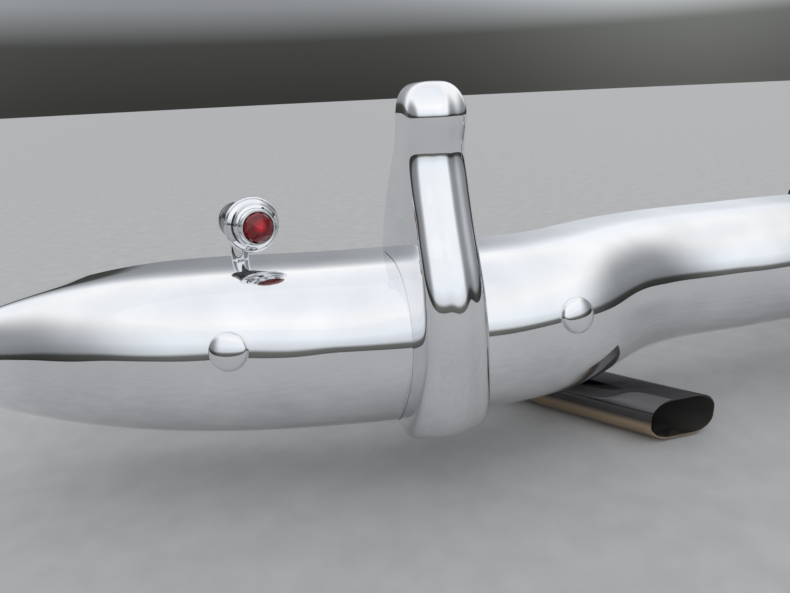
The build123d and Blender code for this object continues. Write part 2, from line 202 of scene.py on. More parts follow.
# Height below which the exhaust tip carries a painted tan reflection of the ground, and how far that
# painted reflection fades above and below it
PAINTED_REFLECTION_HEIGHT = -122 * MM
PAINTED_REFLECTION_FADE = 4 * MM

# The values of a texture between which a finish goes from one end to the other
NOISE_LOW = 0.35
NOISE_HIGH = 0.65

# The floor and the main light
FLOOR_RADIUS = 40
FLOOR_SIDES = 96
KEY_PLACE = (-1.2, -1.8, 3.4)
KEY_AIM = (-0.3, -0.3, 0)
KEY_SIZE = 5.0

# Where the room dims towards the back and the sides, as the share of the ray that points there
BACK_FADE = (0.75, 1.0)
SIDE_FADE = (0.66, 0.94)

# The room's light from the horizon up to overhead: height of the ray, colour
ROOM_LEVELS = (
    (0.0, (0.1, 0.102, 0.095)),
    (0.08, (0.15, 0.155, 0.145)),
    (0.13, (0.66, 0.69, 0.72)),
    (0.3, (0.9, 0.94, 0.99)),
    (0.65, (1.0, 1.0, 1.0)),
    (1.0, (0.86, 0.89, 0.94)),
)

# The photograph's width and focal length in pixels, and the camera's place in metres and turns in
# degrees
PHOTO_WIDTH = 790
FOCAL_PIXELS = 594
SENSOR_WIDTH = 36.0
CAMERA_PLACE = (-0.5761, -0.7876, 0.2230)
CAMERA_YAW = 14.063
CAMERA_PITCH = 18.92
CAMERA_ROLL = -2.788

# Nodes in black enamel and in zinc plate
PAINT_NODES = (
    "iron_left", "iron_right", "arm_left", "arm_right",
    "guard_clamp_left", "guard_clamp_right", "tip_hanger",
)
ZINC_NODES = (
    "wing_nut_left", "wing_nut_right", "bar_nut_left", "bar_nut_right",
    "guard_nut_left", "guard_nut_right", "guard_bolt_left", "guard_bolt_right",
    "arm_bolts_left", "arm_bolts_right", "arm_nuts_left", "arm_nuts_right",
    "hanger_bolt", "hanger_nut",
)


# Selecting and placing

def deselect_all():
    """Leave nothing selected, so that an operator acts on one piece only."""
    for other in bpy.context.view_layer.objects:
        other.select_set(False)


def make_active(piece):
    """Select one piece alone and make it the active one."""
    deselect_all()
    piece.select_set(True)
    bpy.context.view_layer.objects.active = piece


def select_verts(piece, chosen):
    """Select, in edit mode, the vertices whose numbers are given."""
    mesh = bmesh.from_edit_mesh(piece.data)
    mesh.verts.ensure_lookup_table()
    for vert in mesh.verts:
        vert.select = False
    for number in chosen:
        mesh.verts[number].select = True
    mesh.select_flush(True)
    mesh.select_flush(False)
    bmesh.update_edit_mesh(piece.data)


def drop_point(point):
    """Add one selected vertex at a place, in edit mode."""
    bpy.ops.mesh.primitive_plane_add(size=SEED_SIZE, location=(0, 0, 0))
    bpy.ops.mesh.merge(type="CENTER")
    bpy.ops.transform.translate(value=point)


def draw_line(points):
    """Extrude a vertex from place to place."""
    drop_point(points[0])
    before = points[0]
    for point in points[1:]:
        bpy.ops.mesh.extrude_vertices_move(TRANSFORM_OT_translate={"value": point - before})
        before = point


def start_piece(name):
    """An empty piece in edit mode."""
    deselect_all()
    bpy.ops.mesh.primitive_plane_add(size=SEED_SIZE, location=(0, 0, 0))
    piece = bpy.context.object
    piece.name = name
    piece.data.name = name
    bpy.ops.object.mode_set(mode="EDIT")
    bpy.ops.mesh.select_all(action="SELECT")
    bpy.ops.mesh.delete(type="VERT")
    return piece


def run_through(rows):
    """Move rows of places so that a smoothed surface passes through them.

    Smoothing puts a row at a sixth of the row before, of four times itself and of the row after.
    """
    moved = [list(row) for row in rows]
    for turn in range(SETTLE_TURNS):
        for index in range(1, len(rows) - 1):
            for number, place in enumerate(rows[index]):
                beside = moved[index - 1][number] + moved[index + 1][number]
                moved[index][number] = (6 * place - beside) / 4
    return moved


def draw_rows(name, rows):
    """Draw each row of places as a chain and bridge every chain to the next."""
    piece = start_piece(name)
    for row in rows:
        draw_line(row)
    count = len(rows[0])
    for index in range(len(rows) - 1):
        select_verts(piece, range(index * count, (index + 2) * count))
        bpy.ops.mesh.bridge_edge_loops()
    return piece


def apply_modifier(piece, kind, label, **settings):
    """Add one modifier with its settings and apply it."""
    modifier = piece.modifiers.new(label, kind)
    for key, value in settings.items():
        setattr(modifier, key, value)
    make_active(piece)
    bpy.ops.object.modifier_apply(modifier=label)


def round_off(piece, levels):
    """Subdivide a piece into a smooth surface that keeps its corners."""
    settings = {"levels": levels, "render_levels": levels, "boundary_smooth": "PRESERVE_CORNERS"}
    apply_modifier(piece, "SUBSURF", "Round", **settings)


def turn_outwards(piece, middle):
    """Make the faces look away from a point inside the piece."""
    make_active(piece)
    outward = 0.0
    for face in piece.data.polygons:
        outward += face.area * face.normal.dot(face.center - middle)
    if outward < 0:
        bpy.ops.object.mode_set(mode="EDIT")
        bpy.ops.mesh.select_all(action="SELECT")
        bpy.ops.mesh.flip_normals()
        bpy.ops.object.mode_set(mode="OBJECT")


def mirror_copy(piece, name):
    """The same piece on the other side of the vehicle, with its own mesh."""
    make_active(piece)
    bpy.ops.object.duplicate(linked=False)
    other = bpy.context.object
    other.name = name
    other.data.name = name
    bpy.ops.object.mode_set(mode="EDIT")
    bpy.ops.mesh.select_all(action="SELECT")
    bpy.ops.transform.resize(value=(-1, 1, 1), center_override=(0, 0, 0))
    bpy.ops.mesh.flip_normals()
    bpy.ops.object.mode_set(mode="OBJECT")
    return other


def finish_piece(piece, node, material, angle=40):
    """Smooth a piece below an angle in degrees, give it its finish and let it stand for its node.

    A piece that already has materials, one for each side of its wall, keeps them.
    """
    make_active(piece)
    bpy.ops.object.shade_smooth_by_angle(angle=radians(angle))
    if not piece.data.materials:
        piece.data.materials.append(material)
    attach(piece, BODY)
    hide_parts(node)


def merged_copy(node, name):
    """A copy of a CAD node with its loose triangles joined."""
    source = frame["nodes"][node]
    piece = bpy.data.objects.new(name, source.data.copy())
    piece.data.name = name
    bpy.context.scene.collection.objects.link(piece)
    make_active(piece)
    bpy.ops.object.mode_set(mode="EDIT")
    bpy.ops.mesh.select_all(action="SELECT")
    bpy.ops.mesh.remove_doubles(threshold=SKIN_MERGE)
    bpy.ops.object.mode_set(mode="OBJECT")
    piece.data.materials.clear()
    return piece


def node_middle(node):
    """The middle of a CAD node's box."""
    low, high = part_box(node)
    return (Vector(low) + Vector(high)) / 2


def node_height(node):
    """The height of a CAD node's box."""
    low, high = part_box(node)
    return high[2] - low[2]


# Materials

def new_material(name, colour, metallic, roughness):
    """A material with its plain values on the shader's own sockets."""
    material = bpy.data.materials.new(name)
    material.use_nodes = True
    shader = material.node_tree.nodes["Principled BSDF"]
    shader.inputs["Base Color"].default_value = (*colour, 1)
    shader.inputs["Metallic"].default_value = metallic
    shader.inputs["Roughness"].default_value = roughness
    return material, material.node_tree, shader


def add_noise(tree, scale, detail, stretch=(1, 1, 1)):
    """Noise on Object coordinates, as grains of about 1/scale metres."""
    place = tree.nodes.new("ShaderNodeTexCoord")
    mapping = tree.nodes.new("ShaderNodeMapping")
    mapping.inputs["Scale"].default_value = stretch
    noise = tree.nodes.new("ShaderNodeTexNoise")
    noise.inputs["Scale"].default_value = scale
    noise.inputs["Detail"].default_value = detail
    tree.links.new(place.outputs["Object"], mapping.inputs["Vector"])
    tree.links.new(mapping.outputs["Vector"], noise.inputs["Vector"])
    return noise.outputs["Fac"]


def add_range(tree, source, low, high, start=NOISE_LOW, end=NOISE_HIGH):
    """Map the values of a texture or a coordinate from one range to another."""
    spread = tree.nodes.new("ShaderNodeMapRange")
    spread.inputs["From Min"].default_value = start
    spread.inputs["From Max"].default_value = end
    spread.inputs["To Min"].default_value = low
    spread.inputs["To Max"].default_value = high
    tree.links.new(source, spread.inputs["Value"])
    return spread.outputs["Result"]


def add_tint(tree, source, shader, low, high):
    """Blend the base colour from one colour to another as a texture's value rises."""
    ramp = tree.nodes.new("ShaderNodeValToRGB")
    ramp.color_ramp.elements[0].position = NOISE_LOW
    ramp.color_ramp.elements[0].color = (*low, 1)
    ramp.color_ramp.elements[1].position = NOISE_HIGH
    ramp.color_ramp.elements[1].color = (*high, 1)
    tree.links.new(source, ramp.inputs["Fac"])
    tree.links.new(ramp.outputs["Color"], shader.inputs["Base Color"])


def add_bump(tree, source, shader, depth):
    """Raise the surface by a texture, with depth in metres."""
    bump = tree.nodes.new("ShaderNodeBump")
    bump.inputs["Distance"].default_value = depth
    bump.inputs["Strength"].default_value = 1
    tree.links.new(source, bump.inputs["Height"])
    tree.links.new(bump.outputs["Normal"], shader.inputs["Normal"])


def polished_chrome():
    """Bright plate with faint haze and the slow waves of a hand-polished pressing."""
    material, tree, shader = new_material("Polished chrome", (0.8, 0.81, 0.83), 1.0, 0.03)
    haze = add_noise(tree, 14, 5)
    tree.links.new(add_range(tree, haze, 0.015, 0.06), shader.inputs["Roughness"])
    add_tint(tree, haze, shader, (0.78, 0.79, 0.81), (0.86, 0.87, 0.88))
    wave = add_noise(tree, 8, 1, (1, 1, 2))
    add_bump(tree, wave, shader, 0.002)
    return material


def smoked_chrome():
    """Dark mirror plate with a painted tan reflection of the ground along its underside, and a light film
    of dust.
    """
    material, tree, shader = new_material("Smoked chrome", (0.1, 0.095, 0.09), 1.0, 0.1)
    film = add_noise(tree, 30, 4)
    tree.links.new(add_range(tree, film, 0.06, 0.15), shader.inputs["Roughness"])
    place = tree.nodes.new("ShaderNodeTexCoord")
    split = tree.nodes.new("ShaderNodeSeparateXYZ")
    tree.links.new(place.outputs["Object"], split.inputs["Vector"])
    # The tan below this height is a painted reflection of the ground under the tip, blended into the dark
    # plate above it.
    below, above = PAINTED_REFLECTION_HEIGHT - PAINTED_REFLECTION_FADE, PAINTED_REFLECTION_HEIGHT + PAINTED_REFLECTION_FADE
    height = add_range(tree, split.outputs["Z"], 0.3, 0.7, below, above)
    add_tint(tree, height, shader, bpy.context.scene.bumper.painted_reflection_colour, (0.1, 0.098, 0.1))
    add_bump(tree, add_noise(tree, 22, 1), shader, 0.0005)
    return material


def tip_soot():
    """Dull dark soot on the inside of the exhaust tip, paler where it is thin."""
    material, tree, shader = new_material("Tip soot", (0.01, 0.009, 0.008), 0.0, 0.8)
    flecks = add_noise(tree, 90, 5)
    tree.links.new(add_range(tree, flecks, 0.62, 0.9), shader.inputs["Roughness"])
    add_tint(tree, flecks, shader, (0.006, 0.0055, 0.005), (0.022, 0.019, 0.016))
    add_bump(tree, flecks, shader, 0.0002)
    return material


def black_enamel():
    """Semi-gloss black enamel with a fine orange-peel surface and some dust."""
    material, tree, shader = new_material("Black enamel", (0.012, 0.012, 0.013), 0.0, 0.28)
    dust = add_noise(tree, 60, 6)
    tree.links.new(add_range(tree, dust, 0.2, 0.42), shader.inputs["Roughness"])
    add_tint(tree, dust, shader, (0.01, 0.01, 0.011), (0.028, 0.027, 0.026))
    add_bump(tree, add_noise(tree, 700, 2), shader, 0.00008)
    return material


def gloss_black():
    """Deep glossy black of the lamp's shell."""
    material, tree, shader = new_material("Gloss black", (0.006, 0.006, 0.007), 0.0, 0.08)
    shader.inputs["Coat Weight"].default_value = 0.6
    shader.inputs["Coat Roughness"].default_value = 0.03
    dust = add_noise(tree, 80, 5)
    tree.links.new(add_range(tree, dust, 0.06, 0.16), shader.inputs["Roughness"])
    add_tint(tree, dust, shader, (0.005, 0.005, 0.006), (0.012, 0.012, 0.013))
    return material


def zinc_plate():
    """Dull zinc plate with mottled grain."""
    material, tree, shader = new_material("Zinc plate", (0.55, 0.56, 0.57), 1.0, 0.36)
    grain = add_noise(tree, 260, 5)
    tree.links.new(add_range(tree, grain, 0.28, 0.5), shader.inputs["Roughness"])
    add_tint(tree, grain, shader, (0.46, 0.465, 0.47), (0.62, 0.625, 0.62))
    add_bump(tree, grain, shader, 0.0001)
    return material


def red_glass():
    """Deep red moulded glass with a painted glow, brighter in the middle, and painted shade, dark towards
    its rim.
    """
    material, tree, shader = new_material("Red glass", (0.3, 0.003, 0.01), 0.0, 0.06)
    shader.inputs["IOR"].default_value = 1.52
    shader.inputs["Coat Weight"].default_value = 0.3
    shader.inputs["Coat Roughness"].default_value = 0.02
    # The lens is painted brighter towards one place and darker towards its rim. This is a painted glow
    # and painted shade; only the noise mottle is the glass's own.
    share = tree.nodes.new("ShaderNodeAttribute")
    share.attribute_name = PAINTED_GLOW_SHARE
    body = add_noise(tree, 160, 3)
    painted_glow_and_mottle = tree.nodes.new("ShaderNodeMath")
    painted_glow_and_mottle.operation = "MULTIPLY_ADD"
    painted_glow_and_mottle.inputs[1].default_value = GLASS_MOTTLE
    tree.links.new(body, painted_glow_and_mottle.inputs[0])
    tree.links.new(share.outputs["Fac"], painted_glow_and_mottle.inputs[2])
    painted_glow = bpy.context.scene.bumper.painted_glow_colour
    add_tint(tree, painted_glow_and_mottle.outputs["Value"], shader, painted_glow, (0.17, 0.001, 0.005))
    return material


def pale_floor():
    """Plain pale studio floor with a faint grain."""
    material, tree, shader = new_material("Pale floor", (0.45, 0.45, 0.45), 0.0, 0.75)
    grain = add_noise(tree, 30, 6)
    add_tint(tree, grain, shader, (0.43, 0.43, 0.433), (0.47, 0.47, 0.467))
    return material


finishes = {}


def finish_of(name):
    """Make each finish once and keep it."""
    makers = {
        "chrome": polished_chrome,
        "smoked": smoked_chrome,
        "soot": tip_soot,
        "enamel": black_enamel,
        "gloss": gloss_black,
        "zinc": zinc_plate,
        "glass": red_glass,
        "floor": pale_floor,
    }
    if name not in finishes:
        finishes[name] = makers[name]()
    return finishes[name]


# The face bar

def bar_profile():
    """The bar's upright section at full size: depth behind the nose, and height."""
    half = BAR_HEIGHT / 2
    reach = sqrt((FACE_RADIUS - ROLL_RADIUS) ** 2 - (half - ROLL_RADIUS) ** 2)
    crest = FACE_RADIUS - reach
    join = atan2(half - ROLL_RADIUS, reach)
    upper = [
        (BAR_DEPTH, half),
        (BAR_DEPTH - EDGE_SUPPORT, half),
        ((BAR_DEPTH + crest) / 2, half),
        (crest, half),
    ]
    for step in range(1, ROLL_STEPS):
        angle = pi / 2 + (join - pi / 2) * step / ROLL_STEPS
        upper.append((crest - ROLL_RADIUS * cos(angle), half - ROLL_RADIUS + ROLL_RADIUS * sin(angle)))
    middle = []
    for step in range(FACE_STEPS + 1):
        angle = join - 2 * join * step / FACE_STEPS
        middle.append((FACE_RADIUS - FACE_RADIUS * cos(angle), FACE_RADIUS * sin(angle)))
    lower = [(depth, -height) for depth, height in reversed(upper)]
    return upper + middle + lower


def bar_places():
    """Where each section stands: its nose, its scale and the way that it turns."""
    rows = [(-x, *rest) for x, *rest in reversed(BAR_STATIONS[1:])] + list(BAR_STATIONS)
    places = []
    for index, (x, setback, share, lift) in enumerate(rows):
        before = rows[max(index - 1, 0)]
        after = rows[min(index + 1, len(rows) - 1)]
        turn = atan2(after[1] - before[1], after[0] - before[0])
        scale = share - lift * MM / BAR_HEIGHT
        nose = Vector((x * MM, FACE_Y + setback * MM, BAR_Z + lift * MM / 2))
        places.append((nose, scale, turn))
    return places


def sweep_bar(name, closed):
    """Bridge the bar's sections, and close the back and the tips if asked."""
    rows = []
    for nose, scale, turn in bar_places():
        row = []
        for depth, height in bar_profile():
            row.append(nose + Vector((-sin(turn) * depth, cos(turn) * depth, height)) * scale)
        rows.append(row)
    piece = draw_rows(name, run_through(rows))
    if closed:
        count = len(rows[0])
        last = len(rows) * count
        select_verts(piece, [*range(0, last, count), *range(count - 1, last, count)])
        bpy.ops.mesh.bridge_edge_loops()
        for first in (0, last - count):
            select_verts(piece, range(first, first + count))
            bpy.ops.mesh.edge_face_add()
    bpy.ops.object.mode_set(mode="OBJECT")
    turn_outwards(piece, Vector((0, FACE_Y + BAR_DEPTH, BAR_Z)))
    return piece


# The guards

def guard_profile(half, front, rear):
    """A level section of the left guard, from its left rear edge to its right one."""
    crown = half * GUARD_CROWN
    corner = min(GUARD_CORNER, half * GUARD_CORNER_SHARE)
    side_y = FACE_Y + front + corner + crown
    rear_y = FACE_Y + rear
    edge = half - corner
    side_ys = (rear_y, rear_y - EDGE_SUPPORT, (rear_y + side_y) / 2, side_y)
    left = [(-half, y) for y in side_ys]
    for angle in (30, 60):
        reach = radians(angle)
        left.append((-edge - corner * cos(reach), side_y - corner * sin(reach)))
    left.append((-edge, side_y - corner))
    left.append((-edge / 2, FACE_Y + front + crown / 4))
    right = [(-x, y) for x, y in reversed(left)]
    return left + [(0, FACE_Y + front)] + right


def build_guard(levels):
    """Bridge the guard's sections, close the toe and the cap, and give it its wall."""
    rows = []
    for row in GUARD_ROWS:
        height, front, rear, half = (value * MM for value in row)
        rows.append([Vector((GUARD_X + x, y, height)) for x, y in guard_profile(half, front, rear)])
    piece = draw_rows("guard_left_shell", run_through(rows))
    count = len(rows[0])
    for first in (0, (len(rows) - 1) * count):
        select_verts(piece, range(first, first + count))
        bpy.ops.mesh.edge_face_add()
    bpy.ops.object.mode_set(mode="OBJECT")
    turn_outwards(piece, Vector((GUARD_X, FACE_Y + BAR_DEPTH, 0)))
    round_off(piece, levels)
    apply_modifier(piece, "SOLIDIFY", "Wall", thickness=SHEET_WALL, offset=-1)
    return piece


# What a user may change

class BumperFinish(bpy.types.PropertyGroup):
    """Sizes, colours and light levels that a user may change."""

    facet_rows: bpy.props.IntProperty(
        name="Lens facets", description="How finely the lens is cut", default=2, min=1, max=4
    )
    lens_rise: bpy.props.FloatProperty(
        name="Lens rise", description="How far the lens bulges", default=9 * MM, unit="LENGTH"
    )
    smoothness: bpy.props.IntProperty(
        name="Smoothness", description="Subdivision levels of the bar and guards", default=3, min=1, max=4
    )
    # The colour of the lens's painted glow, its brightest place.
    painted_glow_colour: bpy.props.FloatVectorProperty(
        name="Lens colour", description="Colour in the middle of the lens", default=(0.72, 0.012, 0.035),
        subtype="COLOR", min=0, max=1,
    )
    # The tan on the exhaust tip's underside is a painted reflection of the ground.
    painted_reflection_colour: bpy.props.FloatVectorProperty(
        name="Tan colour", description="Colour of the exhaust tip's underside", default=(0.5, 0.38, 0.27),
        subtype="COLOR", min=0, max=1,
    )
    key_power: bpy.props.FloatProperty(
        name="Key light", description="Power of the main soft light", default=2.5, unit="POWER"
    )
    sky_strength: bpy.props.FloatProperty(
        name="Room light", description="Strength of the light from all round", default=1.1, min=0
    )
    back_share: bpy.props.FloatProperty(
        name="Back level", description="Share of the room light from behind", default=0.35, min=0
    )
    side_share: bpy.props.FloatProperty(
        name="Side level", description="Share of the room light from the sides", default=0.3, min=0
    )


# Operators for the bar and the guards

class BUMPER_OT_face_bar(bpy.types.Operator):
    """Build the chromed face bar"""

    bl_idname = "bumper.face_bar"
    bl_label = "Face bar"

    def execute(self, context):
        levels = context.scene.bumper.smoothness
        piece = sweep_bar("face_bar_shell", closed=False)
        round_off(piece, levels)
        apply_modifier(piece, "SOLIDIFY", "Wall", thickness=SHEET_WALL, offset=-1)
        finish_piece(piece, "face_bar", finish_of("chrome"))
        return {"FINISHED"}


class BUMPER_OT_guards(bpy.types.Operator):
    """Build the two guards that straddle the bar"""

    bl_idname = "bumper.guards"
    bl_label = "Guards"

    def execute(self, context):
        levels = context.scene.bumper.smoothness
        cutter = sweep_bar("bar_cutter", closed=True)
        round_off(cutter, levels)
        apply_modifier(cutter, "DISPLACE", "Seam", strength=SEAM_GAP, mid_level=0)
        left = build_guard(levels)
        apply_modifier(left, "BOOLEAN", "Hug", operation="DIFFERENCE", solver="EXACT", object=cutter)
        bpy.data.objects.remove(cutter)
        right = mirror_copy(left, "guard_right_shell")
        finish_piece(left, "guard_left", finish_of("chrome"))
        finish_piece(right, "guard_right", finish_of("chrome"))
        return {"FINISHED"}


# Bolt caps

def spin_profile(name, profile, seat, axis, steps):
    """Spin a profile of (radius, height) pairs about an axis that starts at a seat."""
    side = axis.orthogonal().normalized()
    piece = start_piece(name)
    draw_line([seat + side * radius + axis * height for radius, height in profile])
    bpy.ops.mesh.select_all(action="SELECT")
    bpy.ops.mesh.spin(steps=steps, angle=2 * pi, center=seat, axis=axis)
    bpy.ops.mesh.select_all(action="SELECT")
    bpy.ops.mesh.remove_doubles(threshold=DRAWN_MERGE)
    bpy.ops.mesh.normals_make_consistent(inside=False)
    bpy.ops.object.mode_set(mode="OBJECT")
    return piece


def face_point(x):
    """The place on the finished bar where a bolt cap sits, and the way the face looks."""
    bar = bpy.data.objects["face_bar_shell"]
    start = Vector((x, 2 * FACE_Y, CAP_Z))
    hit, place, normal = bar.ray_cast(start, Vector((0, 1, 0)))[:3]
    if not hit:
        raise RuntimeError("no face of the bar behind a bolt cap")
    return place, normal.normalized()


def cap_profile():
    """A cap's outline from under its lip, round its rim and up its dome to the middle."""
    profile = [
        (CAP_RADIUS - CAP_LIP, -CAP_ROOT),
        (CAP_RADIUS, -CAP_ROOT),
        (CAP_RADIUS, CAP_RIM - CAP_BEVEL),
        (CAP_RADIUS - CAP_EDGE, CAP_RIM),
    ]
    for step in range(1, CAP_STEPS + 1):
        angle = pi / 2 * step / CAP_STEPS
        radius = (CAP_RADIUS - CAP_EDGE) * cos(angle)
        profile.append((radius, CAP_RIM + (CAP_RISE - CAP_RIM) * sin(angle) ** CAP_FULLNESS))
    return profile


class BUMPER_OT_caps(bpy.types.Operator):
    """Build the domed bolt caps on the face"""

    bl_idname = "bumper.caps"
    bl_label = "Bolt caps"

    def execute(self, context):
        for label, x in (("wing_bolt", WING_BOLT_X), ("bar_bolt", BAR_BOLT_X)):
            place, normal = face_point(x)
            left = spin_profile(f"{label}_left_cap", cap_profile(), place, normal, CAP_SPIN_STEPS)
            shank = merged_copy(f"{label}_left", "shank")
            bpy.ops.object.mode_set(mode="EDIT")
            bpy.ops.mesh.select_all(action="SELECT")
            root = place - normal * CAP_ROOT
            bpy.ops.mesh.bisect(plane_co=root, plane_no=normal, clear_outer=True, use_fill=True)
            bpy.ops.object.mode_set(mode="OBJECT")
            deselect_all()
            shank.select_set(True)
            left.select_set(True)
            bpy.context.view_layer.objects.active = left
            bpy.ops.object.join()
            right = mirror_copy(left, f"{label}_right_cap")
            finish_piece(left, f"{label}_left", finish_of("chrome"), 35)
            finish_piece(right, f"{label}_right", finish_of("chrome"), 35)
        return {"FINISHED"}


# Lamps

def bezel_profile(outer, glass, deep):
    """The bezel's outline of radius and height: rim, groove, step, bead and the lip round the lens."""
    step = outer * BEZEL_STEP_SHARE
    return [
        (glass, 0.0),
        (outer - 0.8 * MM, 0.0),
        (outer, 0.8 * MM),
        (outer, 2.6 * MM),
        (outer - 0.5 * MM, 3.3 * MM),
        (outer - 1.3 * MM, 3.5 * MM),
        (outer - 1.9 * MM, 3.1 * MM),
        (step + 1.4 * MM, 5.8 * MM),
        (step + 0.9 * MM, 5.5 * MM),
        (step + 0.4 * MM, 5.9 * MM),
        (step, deep * 0.6),
        (step - 0.7 * MM, deep * 0.66),
        (glass + 3.0 * MM, deep * 0.7),
        (glass + 2.6 * MM, deep * 0.68),
        (glass + 2.3 * MM, deep * 0.72),
        (glass + 2.1 * MM, deep * 0.86),
        (glass + 1.5 * MM, deep * 0.92),
        (glass + 0.9 * MM, deep * 0.92),
        (glass + 0.7 * MM, deep),
        (glass, deep),
        (glass, 0.0),
    ]


def cut_lens(seat, axis, glass, deep, settings):
    """A round lens cut into flat facets, like a jewel."""
    deselect_all()
    rows = settings.facet_rows
    bpy.ops.mesh.primitive_ico_sphere_add(subdivisions=rows, radius=glass, location=(0, 0, 0))
    lens = bpy.context.object
    lens.name = "lamp_lens_left_glass"
    lens.data.name = lens.name
    bpy.ops.object.mode_set(mode="EDIT")
    bpy.ops.mesh.select_all(action="SELECT")
    bpy.ops.mesh.bisect(plane_co=(0, 0, 0), plane_no=(0, 0, 1), clear_inner=True)
    bpy.ops.mesh.select_all(action="SELECT")
    flatten = settings.lens_rise / glass
    bpy.ops.transform.resize(value=(1, 1, flatten), center_override=(0, 0, 0))
    heights = [vert.co.z for vert in bmesh.from_edit_mesh(lens.data).verts]
    select_verts(lens, [number for number, height in enumerate(heights) if abs(height) < LENS_RIM_BAND])
    spring = deep * LENS_SPRING_SHARE
    bpy.ops.mesh.extrude_edges_move(TRANSFORM_OT_translate={"value": (0, 0, -spring)})
    bpy.ops.mesh.edge_face_add()
    bpy.ops.mesh.select_all(action="SELECT")
    bpy.ops.mesh.normals_make_consistent(inside=False)
    bpy.ops.object.mode_set(mode="OBJECT")
    # Distance from the lens's painted glow, as a share of its radius, which sets the painted glow and
    # painted shade.
    shares = lens.data.attributes.new(PAINTED_GLOW_SHARE, "FLOAT", "POINT")
    for vert in lens.data.vertices:
        shares.data[vert.index].value = hypot(vert.co.x, vert.co.y - glass * PAINTED_GLOW_SHIFT) / glass
    upright = Vector((0, 0, 1))
    turn = Matrix((upright.cross(axis), upright, axis)).transposed().to_4x4()
    lens.data.transform(Matrix.Translation(seat + axis * spring) @ turn)
    return lens


class BUMPER_OT_lamps(bpy.types.Operator):
    """Build the marker lamps: shell, stepped bezel, cut lens and foot"""

    bl_idname = "bumper.lamps"
    bl_label = "Lamps"

    def execute(self, context):
        settings = context.scene.bumper
        shell_middle = node_middle("lamp_housing_left")
        bezel_middle = node_middle("lamp_bezel_left")
        axis = (bezel_middle - shell_middle).normalized()
        outer = node_height("lamp_bezel_left") / 2
        glass = node_height("lamp_lens_left") / 2
        corners = frame["nodes"]["lamp_bezel_left"].data.vertices
        depths = [(corner.co - bezel_middle).dot(axis) for corner in corners]
        seat = bezel_middle + axis * min(depths)
        deep = max(depths) - min(depths)
        profile = bezel_profile(outer, glass, deep)
        bezel = spin_profile("lamp_bezel_left_ring", profile, seat, axis, BEZEL_SPIN_STEPS)
        lens = cut_lens(seat, axis, glass, deep, settings)
        shell = merged_copy("lamp_housing_left", "lamp_housing_left_shell")
        foot = merged_copy("lamp_foot_left", "lamp_foot_left_stem")
        plan = (
            (bezel, "lamp_bezel", "ring", "polished_chrome", "chrome", 25),
            (lens, "lamp_lens", "glass", "red_lens", "glass", 1),
            (shell, "lamp_housing", "shell", "black_paint", "gloss", 40),
            (foot, "lamp_foot", "stem", "polished_chrome", "chrome", 40),
        )
        for left, node, part, slot, finish, angle in plan:
            right = mirror_copy(left, f"{node}_right_{part}")
            finish_piece(left, f"{node}_left", finish_of(finish), angle)
            finish_piece(right, f"{node}_right", finish_of(finish), angle)
        return {"FINISHED"}


# Irons and hardware

class BUMPER_OT_irons(bpy.types.Operator):
    """Finish the irons, arms, clamps and hanger in enamel and the hardware in zinc"""

    bl_idname = "bumper.irons"
    bl_label = "Irons and hardware"

    def execute(self, context):
        plan = ((PAINT_NODES, "black_paint", "enamel"), (ZINC_NODES, "zinc_steel", "zinc"))
        for nodes, slot, finish in plan:
            for node in nodes:
                piece = merged_copy(node, f"{node}_skin")
                finish_piece(piece, node, finish_of(finish), 30)
        return {"FINISHED"}


# Exhaust tip

def tip_section(middle, across, share):
    """A closed ring round the tip's axis, from a rounded box at share 0 to a circle at share 1."""
    radius = TIP_CORNER + (INLET_RADIUS - TIP_CORNER) * share
    flat_x = (TIP_WIDTH / 2 - TIP_CORNER) * (1 - share)
    flat_z = (TIP_HEIGHT / 2 - TIP_CORNER) * (1 - share)
    ring = []
    for step in range(TIP_POINTS):
        angle = 2 * pi * (step + 0.5) / TIP_POINTS
        x = radius * cos(angle) + copysign(flat_x, cos(angle))
        z = radius * sin(angle) + copysign(flat_z, sin(angle))
        ring.append(middle + across * x + Vector((0, 0, z)))
    return ring + ring[:1]


class BUMPER_OT_exhaust(bpy.types.Operator):
    """Build the exhaust tip: a rounded box drawn down to a round inlet"""

    bl_idname = "bumper.exhaust"
    bl_label = "Exhaust tip"

    def execute(self, context):
        turn = radians(TIP_TURN)
        ahead = Vector((sin(turn), -cos(turn), 0))
        across = Vector((cos(turn), sin(turn), 0))
        mouth = Vector(TIP_RING) + ahead * TIP_REACH
        rows = [tip_section(mouth - ahead * (back * MM), across, share) for back, share in TIP_STATIONS]
        piece = draw_rows("exhaust_tip_shell", rows)
        bpy.ops.mesh.select_all(action="SELECT")
        bpy.ops.mesh.remove_doubles(threshold=DRAWN_MERGE)
        bpy.ops.mesh.select_all(action="SELECT")
        bpy.ops.mesh.bisect(plane_co=mouth, plane_no=(0, -1, 0), clear_outer=True)
        bpy.ops.object.mode_set(mode="OBJECT")
        turn_outwards(piece, mouth - ahead * TIP_REACH / 2)
        for finish in ("smoked", "soot"):
            piece.data.materials.append(finish_of(finish))
        apply_modifier(piece, "SOLIDIFY", "Wall", thickness=TIP_WALL, offset=-1, material_offset=1)
        rim = {"width": TIP_RIM_BEVEL, "segments": 2, "limit_method": "ANGLE", "angle_limit": radians(50)}
        apply_modifier(piece, "BEVEL", "Rim", **rim)
        finish_piece(piece, "exhaust_tip", finish_of("smoked"), 35)
        return {"FINISHED"}


# Floor, light and camera

